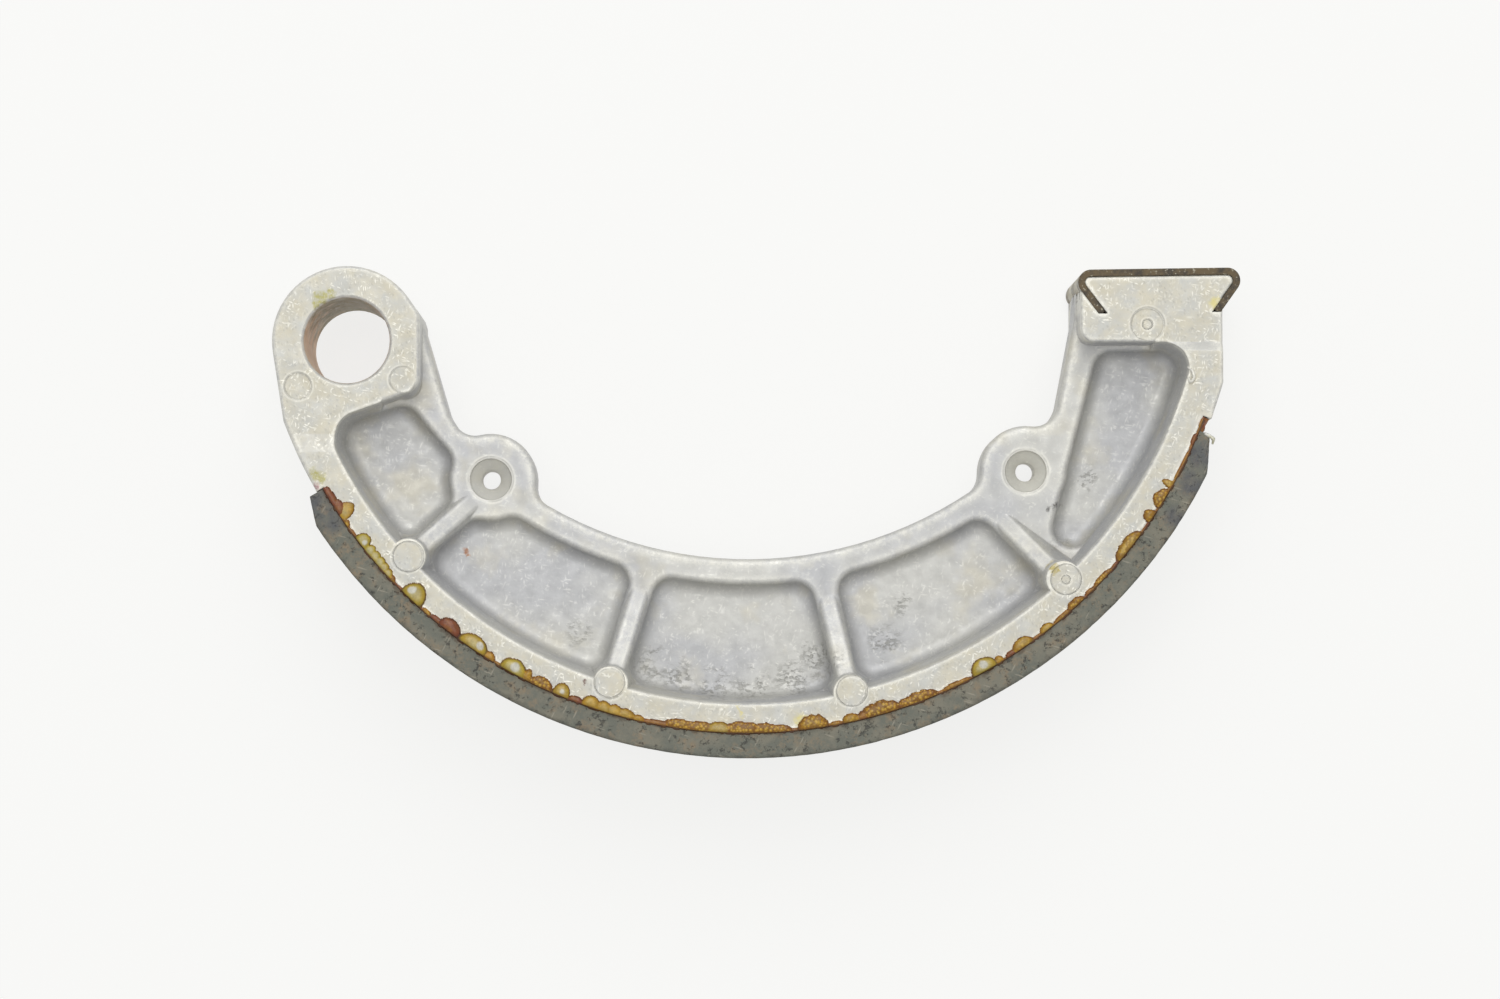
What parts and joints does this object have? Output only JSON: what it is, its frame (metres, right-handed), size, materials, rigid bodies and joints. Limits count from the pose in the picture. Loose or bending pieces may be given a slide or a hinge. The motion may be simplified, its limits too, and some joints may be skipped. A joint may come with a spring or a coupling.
{
  "type": "brake shoe",
  "caption": "Curved drum brake shoe: ribbed cast web and rim with a round anchor eye, a cam end with a bent wear clip, and a bonded friction lining.",
  "frame": {"origin": "axis of the anchor bore, at the middle of the shoe's width", "axes": "+Z along the anchor bore and the drum axis, +X from the anchor eye towards the cam end, +Y away from the friction face; at rest the shoe lies flat on its -Z side"},
  "size_m": [0.1696, 0.0861, 0.0311],
  "materials": {
    "cast_aluminium": "as-cast, with milled end faces",
    "friction_lining": "moulded friction compound",
    "bond": "cured amber adhesive",
    "spring_steel": "dark tempered spring steel"
  },
  "bodies": {
    "root": {"shoe_casting": "cast_aluminium", "brake_lining": "friction_lining", "bond_adhesive": "bond", "cam_face_clip": "spring_steel"}
  },
  "joints": []
}
